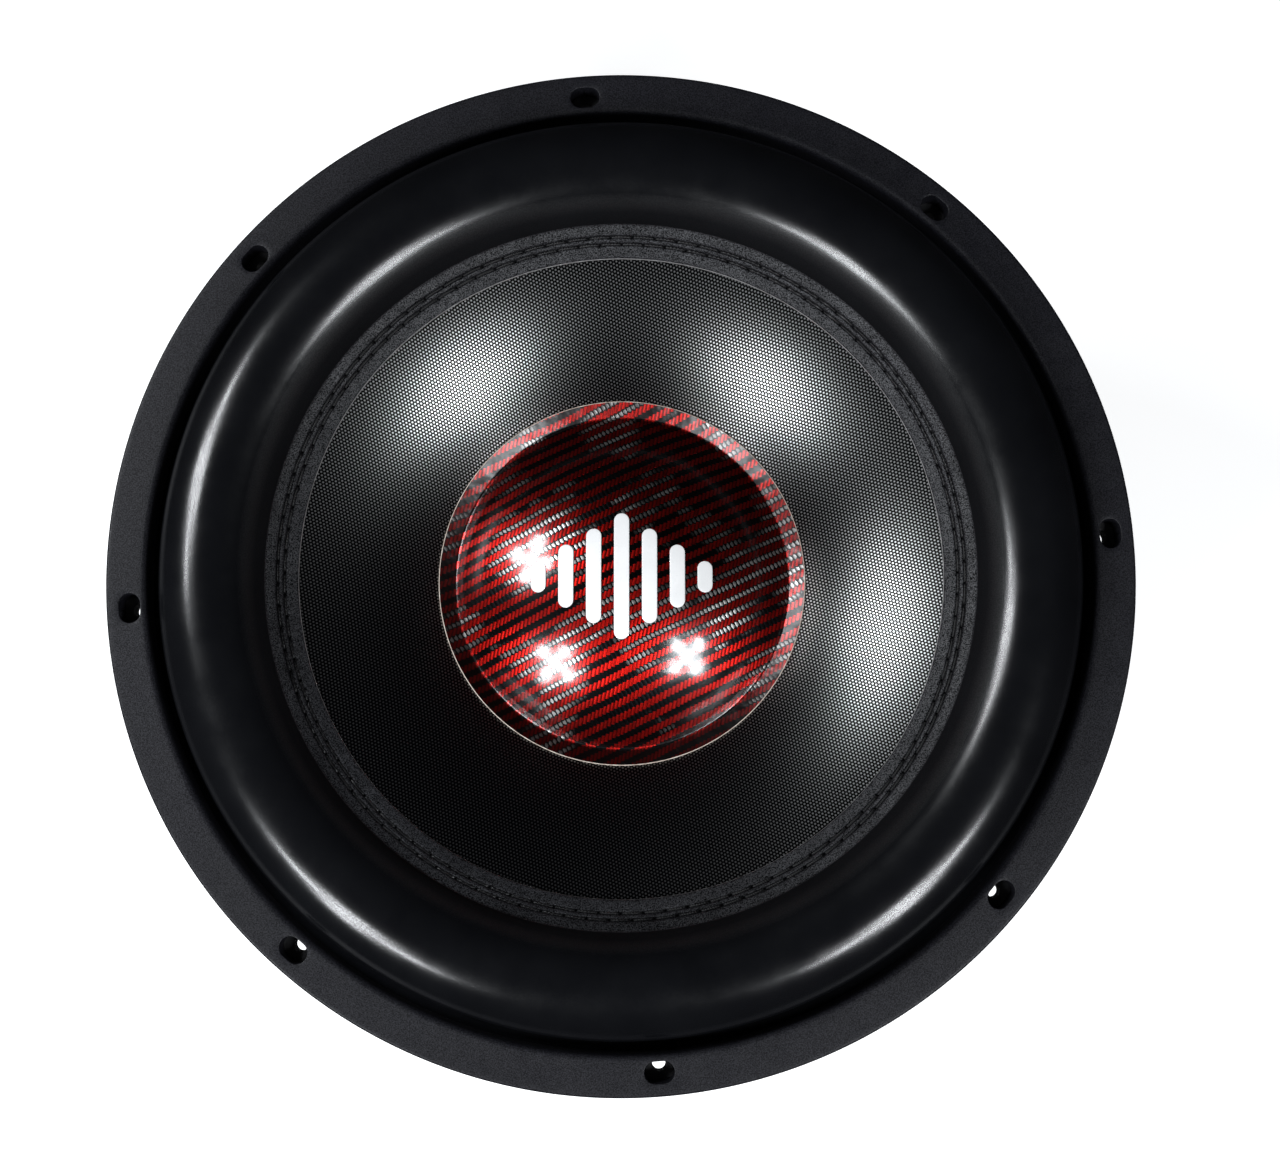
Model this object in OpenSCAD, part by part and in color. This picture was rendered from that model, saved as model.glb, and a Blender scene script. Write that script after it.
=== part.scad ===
// Car subwoofer driver with a 15 inch frame. All sizes are in millimetres.
// +Z points out of the front. The origin is the centre of the bolt circle on the flange's rear face,
// which seats on the baffle, so everything below z = 0 goes through the baffle's cut-out.

/* [Mounting] */
// Outer diameter of the trim gasket, the widest piece
gasket_d = 396; // [394:0.5:400]
// Inner diameter of the trim gasket
gasket_inner_d = 364; // [362:0.5:366]
// Front of the trim gasket above the baffle
gasket_top = 18; // [16:0.5:20]
// Diameter of the circle that the flange's bolt holes lie on
bolt_circle_d = 375; // [375:0.5:377]
// Diameter of the circle that the middles of the gasket's oval holes lie on
oval_circle_d = 378; // [378:0.5:379]
// Number of bolt holes
bolt_count = 8; // [4:1:12]
// Angle of the first bolt hole from +X
bolt_start = 4.4; // [0:0.1:10]
// Diameter of a bolt hole in the flange
bolt_hole_d = 5.2; // [4.8:0.1:5.6]
// Length of an oval hole in the gasket, along the circle
oval_length = 11.4; // [10:0.1:13]
// Width of an oval hole in the gasket, across the circle
oval_width = 8.1; // [7:0.1:8.5]

/* [Suspension] */
// Diameter of the crown line of the roll
roll_d = 314; // [312:0.5:316]
// Radius of the roll's outside
roll_radius = 20; // [19:0.5:20]
// Thickness of the surround's wall
surround_wall = 2.6; // [2:0.1:3]
// Inner diameter of the lip that is glued and sewn to the cone
lip_inner_d = 250.6; // [248:0.2:254]
// Thickness of the lip
lip_wall = 1.6; // [1.2:0.1:2]
// Number of waves in a spider
spider_waves = 7; // [5:1:9]
// Height of a spider's waves, centre to crest
spider_wave_height = 2.6; // [2:0.1:3]
// Thickness of a spider's cloth
spider_wall = 0.8; // [0.6:0.1:1]

/* [Diaphragm] */
// Angle of the cone's wall from the baffle plane
cone_angle = 30.2; // [29:0.1:31]
// Thickness of the cone's wall, measured along the axis
cone_wall = 1.6; // [1.2:0.1:2]
// Outer diameter of the dust cap's glued rim
cap_rim_d = 148.4; // [144:0.2:152]
// Diameter of the crease where the dome starts
cap_crease_d = 135; // [130:0.5:138]
// Radius of the dome's sphere
dome_radius = 100; // [90:1:120]
// Thickness of the dust cap
cap_wall = 0.9; // [0.6:0.1:1.2]
// Thickness of the mark on the dome
emblem_wall = 0.5; // [0.3:0.1:1]
// Height of the mark's tallest bar
emblem_height = 50; // [40:1:60]

/* [Motor] */
// Inner diameter of the coil former
former_d = 76.2; // [75:0.1:77]
// Wall of the coil former
former_wall = 0.6; // [0.4:0.1:0.8]
// Height of the winding
winding_height = 50; // [46:1:54]
// Thickness of the winding
winding_wall = 2.3; // [1.8:0.1:2.4]
// Free space on each side of the moving coil
coil_gap = 0.6; // [0.5:0.1:0.8]
// Diameter of the magnet rings
magnet_d = 220; // [214:1:224]
// Inner diameter of the magnet rings
magnet_inner_d = 110; // [106:1:120]
// Thickness of one magnet ring
magnet_height = 20; // [20:1:22]
// Thickness of the top plate
top_plate_height = 14; // [12:1:15]
// Thickness of the back plate
back_plate_height = 14; // [12:1:16]
// Diameter of the vent through the pole
vent_d = 36; // [30:1:40]

/* [Basket] */
// Thickness of the flange
flange_height = 8; // [8:0.5:10]
// Diameter of the basket below the flange
basket_d = 353; // [350:1:353]
// Height of the wall under the flange
skirt_height = 16; // [14:1:18]
// Number of double-ribbed arms
arm_count = 6; // [6:6]
// Width of an arm
arm_width = 34; // [30:1:38]
// Depth of the ledge that holds the spiders, below the seating face
ledge_depth = 68; // [67:0.5:70]
// Depth of the motor's front face, below the seating face
motor_depth = 105; // [104:0.5:107]

/* [Terminals] */
// Distance between the two buttons of a block
button_pitch = 24; // [22:1:26]
// Travel of a button
button_travel = 4; // [3:0.5:4]
// Diameter of a button's cap
button_cap_d = 13; // [12:0.5:13]
// Diameter of a wire entry
wire_hole_d = 6; // [5:0.2:6.2]

/* [Hidden] */
$fn = 96;
eps = 0.01;
soft_gap = 0.3;

// Levels and radii that several pieces share
gasket_r = gasket_d / 2;
gasket_inner_r = gasket_inner_d / 2;
flange_r = gasket_r - 2;
flange_inner_r = basket_d / 2 - 4.5;
land_wall = 2;
land_r = gasket_inner_r + 2;
land_low = flange_height - land_wall;
bolt_circle_r = bolt_circle_d / 2;
seal_height = 2;
seal_r = [180, 184.5];

roll_r = roll_d / 2;
roll_z = gasket_top;
lip_r = lip_inner_d / 2;
lip_top = 10.4;
lip_outer_r = roll_r - roll_radius;
cone_rise = tan(cone_angle);
stitch_rows = [5, 7.5];
thread_r = 0.5;

former_r = former_d / 2;
former_outer_r = former_r + former_wall;
neck_collar_wall = 3.5;
neck_collar_r = former_outer_r + neck_collar_wall;
neck_collar_low = -50;
former_top = -38;

cap_rim_r = cap_rim_d / 2;
cap_crease_r = cap_crease_d / 2;
dome_rise = dome_radius - sqrt(dome_radius * dome_radius - cap_crease_r * cap_crease_r);

spider_r = 126;
spider_land_r = 113;
spider_start_r = 43.5;
spider_collar_wall = 0.8;
spider_collar_height = 5;
lower_spider_z = -ledge_depth;
spacer_height = 11.2;
upper_spider_z = lower_spider_z + spider_wall + spacer_height;
clamp_low = upper_spider_z + spider_wall;
clamp_height = 3;

motor_top = -motor_depth;
top_plate_low = motor_top - top_plate_height;
plate_r = magnet_d / 2 - 3;
plate_chamfer = 2;
magnet_count = 3;
back_plate_top = top_plate_low - magnet_count * magnet_height;
back_plate_low = back_plate_top - back_plate_height;
winding_r = former_outer_r + winding_wall;
winding_mid = motor_top - top_plate_height / 2;
winding_low = winding_mid - winding_height / 2;
top_plate_bore_r = winding_r + coil_gap;
sleeve_r = former_r - coil_gap;
sleeve_wall = 2;
pole_r = sleeve_r - sleeve_wall;
pole_top = motor_top + 2;
vent_r = vent_d / 2;
screen_seat_r = vent_r + 9;
screen_seat_depth = 4;
boot_wall = 3.2;
boot_r = magnet_d / 2 + boot_wall;

motor_plate_height = 8;
motor_plate_top = motor_top + motor_plate_height;
motor_plate_r = 82;
motor_plate_bore_r = 58;
motor_bolt_circle_r = 70;
motor_bolt_count = 6;
motor_bolt_r = 3;
motor_bolt_head_r = 5;
motor_bolt_head_height = 6;
motor_bolt_length = 18;

ledge_height = 8;
ledge_r = 140;
arm_start = 30;
arm_rib_wall = 5;
arm_web_wall = 5;

shelf_x = 149;
shelf_half_width = 36;
block_x = [143, 168];
block_half_width = 27;
block_low = -ledge_depth;
block_height = 26;
block_top = block_low + block_height;
ear_half_width = 35;
ear_height = 4;
ear_x = 146;
ear_screw_y = 31;
screw_r = 1.5;
button_x = 156.5;
button_rest_low = block_low - 8;
button_cap_height = 10;
button_stem_r = 4.2;
button_stem_flat = 3.1;
button_stem_gap = 0.2;
button_stem_top = button_rest_low + button_cap_height + 17.2;
button_recess_r = button_cap_d / 2 + 0.4;
button_recess_top = block_low + 11;
wire_z = block_low + 18;
spring_mean_r = 5.3;
spring_wire_r = 0.5;
spring_turns = 4.5;
contact_wall = 1;
contact_half_width = 3;
contact_x = [138, 158];

lead_r = 1.2;
lead_angle = atan(button_pitch / 2 / contact_x[0]);
lead_outer = [contact_x[0] - soft_gap, block_top - 1.5];
lead_inner = [neck_collar_r + 0.2, neck_collar_low + 4];
lead_radius = 78.5;

emblem_bar_width = 6;
emblem_pitch = 11;
emblem_steps = [-3:3];

// Front face of the cone's wall at a radius
function cone_z(r) = lip_top - lip_wall + (r - lip_r) * cone_rise;

// Points of an arc about a centre, from one angle to another
function arc(center, r, from, to, steps = 24) =
    [for (i = [0:steps]) let (a = from + (to - from) * i / steps) center + r * [cos(a), sin(a)]];

// Height of a spider's middle surface above its flat land
function spider_wave(r) =
    spider_wave_height * sin(360 * spider_waves * (r - spider_start_r) / (spider_land_r - spider_start_r));

module revolved(points) {
    rotate_extrude() polygon(points);
}

module ring(inner_r, outer_r, low, height) {
    translate([0, 0, low])
        difference() {
            cylinder(r = outer_r, h = height);
            translate([0, 0, -eps]) cylinder(r = inner_r, h = height + 2 * eps);
        }
}

module around(count, start = 0) {
    for (i = [0:count - 1]) rotate([0, 0, start + 360 * i / count]) children();
}

module hole(r, low, high) {
    translate([0, 0, low - eps]) cylinder(r = r, h = high - low + 2 * eps);
}

// A block with round upright corners
module rounded_block(x, y, z, corner_r) {
    translate([x[0] + corner_r, y[0], z[0]])
        cube([x[1] - x[0] - 2 * corner_r, y[1] - y[0], z[1] - z[0]]);
    translate([x[0], y[0] + corner_r, z[0]])
        cube([x[1] - x[0], y[1] - y[0] - 2 * corner_r, z[1] - z[0]]);
    for (cx = [x[0] + corner_r, x[1] - corner_r], cy = [y[0] + corner_r, y[1] - corner_r])
        translate([cx, cy, z[0]]) cylinder(r = corner_r, h = z[1] - z[0]);
}

// ---- Basket ----

// Side outline of an arm: down from the skirt, past the spider ledge, in to the motor plate
module arm_outline(depth) {
    polygon([
        [basket_d / 2, 0], [basket_d / 2, -skirt_height], [ledge_r + 7, -ledge_depth - ledge_height],
        [motor_plate_r + 20, motor_top], [motor_plate_r - 6, motor_top],
        [motor_plate_r - 6, motor_top + depth], [motor_plate_r + 17, motor_top + depth],
        [ledge_r + 7 - depth, -ledge_depth - ledge_height + depth * 0.75],
        [basket_d / 2 - depth, -skirt_height + 2], [basket_d / 2 - depth, 0]
    ]);
}

module arm_slice(depth, width) {
    rotate([90, 0, 0]) translate([0, 0, -width / 2]) linear_extrude(width) arm_outline(depth);
}

module arm() {
    arm_slice(arm_web_wall, arm_width);
    for (side = [-1, 1])
        translate([0, side * (arm_width - arm_rib_wall) / 2, 0]) arm_slice(arm_web_wall + 7, arm_rib_wall);
}

module flange() {
    revolved([
        [flange_inner_r, -skirt_height], [basket_d / 2, -skirt_height], [basket_d / 2, 0],
        [flange_r - 1, 0], [flange_r, 1], [flange_r, flange_height], [land_r + soft_gap, flange_height],
        [land_r + soft_gap, land_low], [flange_inner_r, land_low]
    ]);
}

module terminal_shelf() {
    translate([spider_r, -shelf_half_width, -ledge_depth - ledge_height])
        cube([shelf_x - spider_r, 2 * shelf_half_width, ledge_height]);
}

module basket() {
    color([0.10, 0.10, 0.11])
        difference() {
            union() {
                flange();
                around(arm_count, arm_start) arm();
                ring(spider_land_r, ledge_r, -ledge_depth - ledge_height, ledge_height);
                around(2) terminal_shelf();
                ring(motor_plate_bore_r, motor_plate_r, motor_top, motor_plate_height);
            }
            ring(seal_r[0], seal_r[1], -eps, seal_height + eps);
            hole(spider_r + soft_gap, -ledge_depth, -ledge_depth + 30);
            around(bolt_count, bolt_start)
                translate([bolt_circle_r, 0, 0]) hole(bolt_hole_d / 2, 0, flange_height);
            around(motor_bolt_count)
                translate([motor_bolt_circle_r, 0, 0]) hole(motor_bolt_r + 0.3, motor_top, motor_plate_top);
            around(2)
                for (side = [-1, 1])
                    translate([ear_x, side * ear_screw_y, 0])
                        hole(screw_r, -ledge_depth - ledge_height, -ledge_depth);
        }
}

module rear_gasket() {
    color([0.16, 0.16, 0.17])
        ring(seal_r[0] + 0.1, seal_r[1] - 0.1, 0, seal_height);
}

// ---- Front trim and surround ----

module oval_hole() {
    reach = (oval_length - oval_width) / 2;
    for (side = [-1, 1]) translate([0, side * reach, 0]) hole(oval_width / 2, flange_height, gasket_top);
    translate([-oval_width / 2, -reach, flange_height - eps])
        cube([oval_width, 2 * reach, gasket_top - flange_height + 2 * eps]);
}

module mounting_gasket() {
    bevel = 1.2;
    edge_r = 2.5;
    skirt_low = 2;
    color([0.19, 0.19, 0.21])
        difference() {
            revolved(concat(
                [[gasket_inner_r, flange_height], [flange_r + soft_gap, flange_height]],
                [[flange_r + soft_gap, skirt_low], [gasket_r, skirt_low], [gasket_r, gasket_top - bevel]],
                [[gasket_r - bevel, gasket_top]],
                arc([gasket_inner_r + edge_r, gasket_top - edge_r], edge_r, 90, 180, 8)
            ));
            around(bolt_count, bolt_start) translate([oval_circle_d / 2, 0, 0]) oval_hole();
        }
}

// Notch in the lip that a row of thread lies in
module thread_notch(row) {
    r = lip_r + stitch_rows[row];
    half_width = thread_r + 0.1;
    depth = 2 * thread_r - 0.1;
    translate([r - half_width, cone_z(r) + lip_wall - depth]) square([2 * half_width, depth + 2]);
}

module surround() {
    foot_r = roll_r + roll_radius;
    inner = roll_radius - surround_wall;
    color([0.07, 0.07, 0.075])
        rotate_extrude()
            difference() {
                polygon(concat(
                    [[lip_r, cone_z(lip_r)], [lip_outer_r + surround_wall, cone_z(lip_outer_r + surround_wall)]],
                    arc([roll_r, roll_z], inner, 180, 0),
                    [[foot_r - surround_wall, land_low], [land_r, land_low], [land_r, flange_height]],
                    [[foot_r, flange_height]],
                    arc([roll_r, roll_z], roll_radius, 0, 180),
                    [[lip_outer_r, cone_z(lip_outer_r) + lip_wall], [lip_r, lip_top]]
                ));
                for (row = [0, 1]) thread_notch(row);
            }
}

module stitching(row) {
    r = lip_r + stitch_rows[row];
    color([0.03, 0.03, 0.03])
        translate([0, 0, cone_z(r) + lip_wall - thread_r + 0.1])
            rotate_extrude() translate([r, 0]) circle(r = thread_r, $fn = 24);
}

module stitching_inner_row() {
    stitching(0);
}

module stitching_outer_row() {
    stitching(1);
}

// ---- Diaphragm ----

module cone() {
    color([0.06, 0.06, 0.07])
        revolved([
            [former_outer_r, cone_z(former_outer_r)], [lip_outer_r, cone_z(lip_outer_r)],
            [lip_outer_r, cone_z(lip_outer_r) - cone_wall],
            [former_outer_r, cone_z(former_outer_r) - cone_wall]
        ]);
}

// Everything between two spheres about the dome's centre
module dome_shell(inner, outer) {
    translate([0, 0, cone_z(cap_crease_r) + cap_wall + dome_rise - dome_radius])
        difference() {
            sphere(r = outer);
            sphere(r = inner);
        }
}

module dust_cap() {
    crease_low = cone_z(cap_crease_r);
    color([0.72, 0.08, 0.07]) {
        intersection() {
            dome_shell(dome_radius - cap_wall, dome_radius);
            translate([0, 0, crease_low]) cylinder(r = cap_crease_r, h = dome_rise + 5);
        }
        revolved([
            [cap_crease_r - 1.2, crease_low], [cap_crease_r, crease_low], [cap_rim_r, cone_z(cap_rim_r)],
            [cap_rim_r, cone_z(cap_rim_r) + cap_wall], [cap_crease_r - 0.2, crease_low + cap_wall]
        ]);
    }
}

// Outline of one bar of the mark, with round ends
module emblem_bar(height) {
    reach = (height - emblem_bar_width) / 2;
    translate([-emblem_bar_width / 2, -reach]) square([emblem_bar_width, 2 * reach]);
    for (side = [-1, 1]) translate([0, side * reach]) circle(d = emblem_bar_width);
}

module emblem() {
    color([0.93, 0.93, 0.93])
        intersection() {
            dome_shell(dome_radius, dome_radius + emblem_wall);
            translate([0, 0, cone_z(cap_crease_r)])
                linear_extrude(dome_rise + 5)
                    for (i = emblem_steps) translate([i * emblem_pitch, 0])
                        emblem_bar(emblem_height * (4 - abs(i)) / 4);
        }
}

module coil_former() {
    color([0.75, 0.76, 0.78]) ring(former_r, former_outer_r, winding_low, former_top - winding_low);
}

module voice_coil() {
    color([0.70, 0.36, 0.18]) ring(former_outer_r, winding_r, winding_low, winding_height);
}

module neck_collar() {
    color([0.05, 0.05, 0.05])
        revolved([
            [former_outer_r, neck_collar_low], [neck_collar_r, neck_collar_low],
            [neck_collar_r, cone_z(neck_collar_r) - cone_wall],
            [former_outer_r, cone_z(former_outer_r) - cone_wall]
        ]);
}

// ---- Spiders ----

module spider(low) {
    steps = spider_waves * 10;
    mid = low + spider_wall / 2;
    span = spider_land_r - spider_start_r;
    waves = [for (i = [0:steps]) let (r = spider_start_r + span * i / steps) [r, mid + spider_wave(r)]];
    color([0.55, 0.40, 0.18])
        revolved(concat(
            [[former_outer_r, mid - spider_wall / 2]],
            [for (p = waves) p - [0, spider_wall / 2]],
            [[spider_r, mid - spider_wall / 2], [spider_r, mid + spider_wall / 2]],
            [for (i = [steps:-1:0]) waves[i] + [0, spider_wall / 2]],
            [[former_outer_r + spider_collar_wall, mid + spider_wall / 2]],
            [[former_outer_r + spider_collar_wall, low + spider_collar_height]],
            [[former_outer_r, low + spider_collar_height]]
        ));
}

module upper_spider() {
    spider(upper_spider_z);
}

module lower_spider() {
    spider(lower_spider_z);
}

module spider_spacer() {
    color([0.13, 0.13, 0.14]) ring(spider_land_r + 1, spider_r, lower_spider_z + spider_wall, spacer_height);
}

module spider_clamp() {
    color([0.11, 0.11, 0.12]) ring(spider_land_r + 1, spider_r, clamp_low, clamp_height);
}

// One braided lead: an arch from a terminal's tab to the collar on the former
module tinsel_lead() {
    chord = lead_outer - lead_inner;
    half = norm(chord) / 2;
    tilt = atan2(chord[1], chord[0]);
    reach = asin(half / lead_radius);
    center = (lead_outer + lead_inner) / 2 - lead_radius * cos(reach) * [-sin(tilt), cos(tilt)];
    rotate([90, 0, 0]) translate([center[0], center[1], 0])
        rotate([0, 0, 90 + tilt - reach])
            rotate_extrude(angle = 2 * reach) translate([lead_radius, 0]) circle(r = lead_r, $fn = 24);
}

module tinsel_leads() {
    color([0.75, 0.72, 0.66])
        around(2) for (side = [-1, 1]) rotate([0, 0, side * lead_angle]) tinsel_lead();
}

// ---- Motor ----

module plate(inner_r, low, height) {
    revolved([
        [inner_r, low], [plate_r - plate_chamfer, low], [plate_r, low + plate_chamfer],
        [plate_r, low + height - plate_chamfer], [plate_r - plate_chamfer, low + height],
        [inner_r, low + height]
    ]);
}

module top_plate() {
    color([0.24, 0.24, 0.25])
        difference() {
            plate(top_plate_bore_r, top_plate_low, top_plate_height);
            around(motor_bolt_count) translate([motor_bolt_circle_r, 0, 0])
                hole(motor_bolt_r, top_plate_low + 2, motor_top);
        }
}

module magnet(index) {
    color([0.17, 0.17, 0.18])
        ring(magnet_inner_d / 2, magnet_d / 2, top_plate_low - (index + 1) * magnet_height, magnet_height);
}

module magnet_front() {
    magnet(0);
}

module magnet_middle() {
    magnet(1);
}

module magnet_rear() {
    magnet(2);
}

// Rear plate and pole in one piece, with the vent through both
module back_plate() {
    pole_edge = 2;
    color([0.24, 0.24, 0.25])
        difference() {
            union() {
                plate(vent_r, back_plate_low, back_plate_height);
                revolved([
                    [vent_r, back_plate_top - eps], [pole_r, back_plate_top - eps], [pole_r, pole_top],
                    [vent_r + pole_edge, pole_top], [vent_r, pole_top - pole_edge]
                ]);
            }
            hole(screen_seat_r, back_plate_low, back_plate_low + screen_seat_depth);
        }
}

module pole_sleeve() {
    color([0.80, 0.81, 0.82]) ring(pole_r, sleeve_r, back_plate_top + 10, pole_top - back_plate_top - 10);
}

// Rubber cover over the magnets and the rims of both plates
module magnet_boot() {
    magnet_r = magnet_d / 2;
    low = back_plate_low + 4;
    high = motor_top - 3;
    color([0.08, 0.08, 0.085])
        revolved([
            [plate_r, low], [boot_r - 2, low], [boot_r, low + 2], [boot_r, high - 2], [boot_r - 2, high],
            [plate_r, high], [plate_r, top_plate_low], [magnet_r, top_plate_low],
            [magnet_r, back_plate_top], [plate_r, back_plate_top]
        ]);
}

// Guard over the vent: a sheet with six-sided holes in a honeycomb
module vent_screen() {
    cell = 4.6;
    rows = 5;
    screen_wall = 0.8;
    color([0.45, 0.46, 0.48])
        translate([0, 0, back_plate_low + screen_seat_depth - screen_wall])
            linear_extrude(screen_wall)
                difference() {
                    circle(r = screen_seat_r - 0.1);
                    for (row = [-rows:rows], column = [-rows:rows]) {
                        place = cell * [column + row / 2, row * sin(60)];
                        if (norm(place) < vent_r - cell / 2)
                            translate(place) rotate([0, 0, 30]) circle(r = cell * 0.46, $fn = 6);
                    }
                }
}

module motor_bolts() {
    socket_r = 2.9;
    color([0.30, 0.30, 0.31])
        around(motor_bolt_count)
            translate([motor_bolt_circle_r, 0, motor_plate_top])
                difference() {
                    union() {
                        cylinder(r = motor_bolt_head_r, h = motor_bolt_head_height);
                        translate([0, 0, -motor_bolt_length]) cylinder(r = motor_bolt_r, h = motor_bolt_length);
                    }
                    translate([0, 0, motor_bolt_head_height / 2])
                        cylinder(r = socket_r, h = motor_bolt_head_height, $fn = 6);
                }
}

// ---- Terminals ----

// Places a child at a button: 1 and 2 on the +X block, 3 and 4 on the -X block
module at_button(index) {
    side = index % 2 == 1 ? 1 : -1;
    rotate([0, 0, index < 3 ? 0 : 180]) translate([button_x, side * button_pitch / 2, 0]) children();
}

// A round bar with two flats across X, which keep it from turning
module keyed_bar(r, flat, low, high) {
    translate([0, 0, low])
        intersection() {
            cylinder(r = r, h = high - low);
            translate([-flat, -r, 0]) cube([2 * flat, 2 * r, high - low]);
        }
}

module terminal_block() {
    stem_hole_top = button_stem_top + button_travel + soft_gap;
    color([0.08, 0.08, 0.085])
        difference() {
            union() {
                rounded_block(block_x, [-block_half_width, block_half_width], [block_low, block_top], 3);
                rounded_block([ear_x - 3, ear_x + 6], [-ear_half_width, ear_half_width],
                    [block_low, block_low + ear_height], 3);
            }
            for (index = [1, 2]) at_button(index) {
                hole(button_recess_r, block_low, button_recess_top);
                keyed_bar(button_stem_r + button_stem_gap, button_stem_flat + button_stem_gap,
                    button_recess_top - eps, stem_hole_top);
                translate([0, 0, wire_z]) rotate([0, 90, 0]) cylinder(d = wire_hole_d, h = 20);
            }
            for (side = [-1, 1])
                translate([ear_x, side * ear_screw_y, 0]) hole(screw_r + 0.2, block_low, block_low + ear_height);
        }
}

module terminal_block_right() {
    terminal_block();
}

module terminal_block_left() {
    rotate([0, 0, 180]) terminal_block();
}

// Cap and stem. The stem's cross hole meets the wire entry when the button is pressed
module button(index) {
    cap_top = button_rest_low + button_cap_height;
    cap_edge = 1.5;
    color(index % 2 == 1 ? [0.72, 0.06, 0.05] : [0.05, 0.05, 0.055])
        at_button(index)
            difference() {
                union() {
                    revolved([
                        [0, button_rest_low], [button_cap_d / 2 - cap_edge, button_rest_low],
                        [button_cap_d / 2, button_rest_low + cap_edge], [button_cap_d / 2, cap_top], [0, cap_top]
                    ]);
                    keyed_bar(button_stem_r, button_stem_flat, cap_top - eps, button_stem_top);
                }
                translate([-10, 0, wire_z - button_travel]) rotate([0, 90, 0])
                    cylinder(d = wire_hole_d - 0.4, h = 20);
            }
}

module button_1() {
    button(1);
}

module button_2() {
    button(2);
}

module button_3() {
    button(3);
}

module button_4() {
    button(4);
}

// A closed tube along a helix
module coil_spring(mean_r, wire_r, height, turns) {
    sides = 8;
    steps = turns * 16;
    points = [
        for (i = [0:steps], j = [0:sides - 1])
            let (turn = 360 * turns * i / steps, around = 360 * j / sides, r = mean_r + wire_r * cos(around))
                [r * cos(turn), r * sin(turn), wire_r + (height - 2 * wire_r) * i / steps + wire_r * sin(around)]
    ];
    walls = [
        for (i = [0:steps - 1], j = [0:sides - 1])
            let (next = (j + 1) % sides)
                [i * sides + j, i * sides + next, (i + 1) * sides + next, (i + 1) * sides + j]
    ];
    ends = [[for (j = [sides - 1:-1:0]) j], [for (j = [0:sides - 1]) steps * sides + j]];
    polyhedron(points, concat(walls, ends));
}

module button_spring(index) {
    low = button_rest_low + button_cap_height;
    color([0.70, 0.71, 0.73])
        at_button(index)
            translate([0, 0, low + 0.05])
                coil_spring(spring_mean_r, spring_wire_r, button_recess_top - low - 0.1, spring_turns);
}

module button_spring_1() {
    button_spring(1);
}

module button_spring_2() {
    button_spring(2);
}

module button_spring_3() {
    button_spring(3);
}

module button_spring_4() {
    button_spring(4);
}

// A strip on each button's roof, with a tab folded down for the lead
module terminal_contact() {
    width = 2 * contact_half_width;
    tab_height = 4;
    translate([contact_x[0], -contact_half_width, block_top])
        cube([contact_x[1] - contact_x[0], width, contact_wall]);
    translate([contact_x[0], -contact_half_width, block_top - tab_height])
        cube([contact_wall, width, tab_height + contact_wall]);
}

module terminal_contacts() {
    color([0.80, 0.62, 0.28])
        around(2) for (side = [-1, 1]) translate([0, side * button_pitch / 2, 0]) terminal_contact();
}

module terminal_screws() {
    head_r = 3;
    head_height = 2.4;
    slot_width = 0.9;
    color([0.62, 0.63, 0.65])
        around(2) for (side = [-1, 1])
            translate([ear_x, side * ear_screw_y, block_low + ear_height])
                difference() {
                    union() {
                        cylinder(r = head_r, h = head_height);
                        translate([0, 0, -ear_height - ledge_height + 1])
                            cylinder(r = screw_r, h = ear_height + ledge_height - 1);
                    }
                    for (turn = [0, 90]) rotate([0, 0, turn])
                        translate([-head_r + 1, -slot_width / 2, head_height / 2])
                            cube([2 * head_r - 2, slot_width, head_height]);
                }
}

basket();
mounting_gasket();
rear_gasket();
surround();
stitching_inner_row();
stitching_outer_row();
cone();
dust_cap();
emblem();
coil_former();
voice_coil();
neck_collar();
upper_spider();
lower_spider();
spider_spacer();
spider_clamp();
tinsel_leads();
top_plate();
magnet_front();
magnet_middle();
magnet_rear();
back_plate();
pole_sleeve();
magnet_boot();
vent_screen();
motor_bolts();
terminal_block_right();
terminal_block_left();
button_1();
button_2();
button_3();
button_4();
button_spring_1();
button_spring_2();
button_spring_3();
button_spring_4();
terminal_contacts();
terminal_screws();
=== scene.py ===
"""Looks of the car subwoofer driver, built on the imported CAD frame. Metres, +Z out of the front."""
import math

import bmesh
import bpy
import numpy as np
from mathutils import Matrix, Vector


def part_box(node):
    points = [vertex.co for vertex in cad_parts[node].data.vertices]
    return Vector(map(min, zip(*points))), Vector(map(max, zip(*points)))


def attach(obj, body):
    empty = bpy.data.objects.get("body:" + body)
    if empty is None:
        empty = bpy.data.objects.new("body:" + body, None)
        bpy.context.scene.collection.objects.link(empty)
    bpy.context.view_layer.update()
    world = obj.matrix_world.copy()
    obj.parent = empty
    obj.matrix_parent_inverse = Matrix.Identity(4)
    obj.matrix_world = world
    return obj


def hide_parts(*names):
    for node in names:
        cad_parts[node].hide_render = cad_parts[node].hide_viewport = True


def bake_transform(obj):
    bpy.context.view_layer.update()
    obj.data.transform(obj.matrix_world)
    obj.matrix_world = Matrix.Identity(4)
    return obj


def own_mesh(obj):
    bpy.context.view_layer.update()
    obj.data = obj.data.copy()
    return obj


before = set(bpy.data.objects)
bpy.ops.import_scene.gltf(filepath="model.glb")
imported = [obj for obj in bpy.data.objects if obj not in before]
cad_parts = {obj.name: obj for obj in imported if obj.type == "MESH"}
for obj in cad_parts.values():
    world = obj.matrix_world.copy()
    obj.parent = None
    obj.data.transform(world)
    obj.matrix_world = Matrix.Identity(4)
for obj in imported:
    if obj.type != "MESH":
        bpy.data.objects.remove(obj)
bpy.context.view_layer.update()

MM = 0.001
TAU = 2 * math.pi

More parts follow.
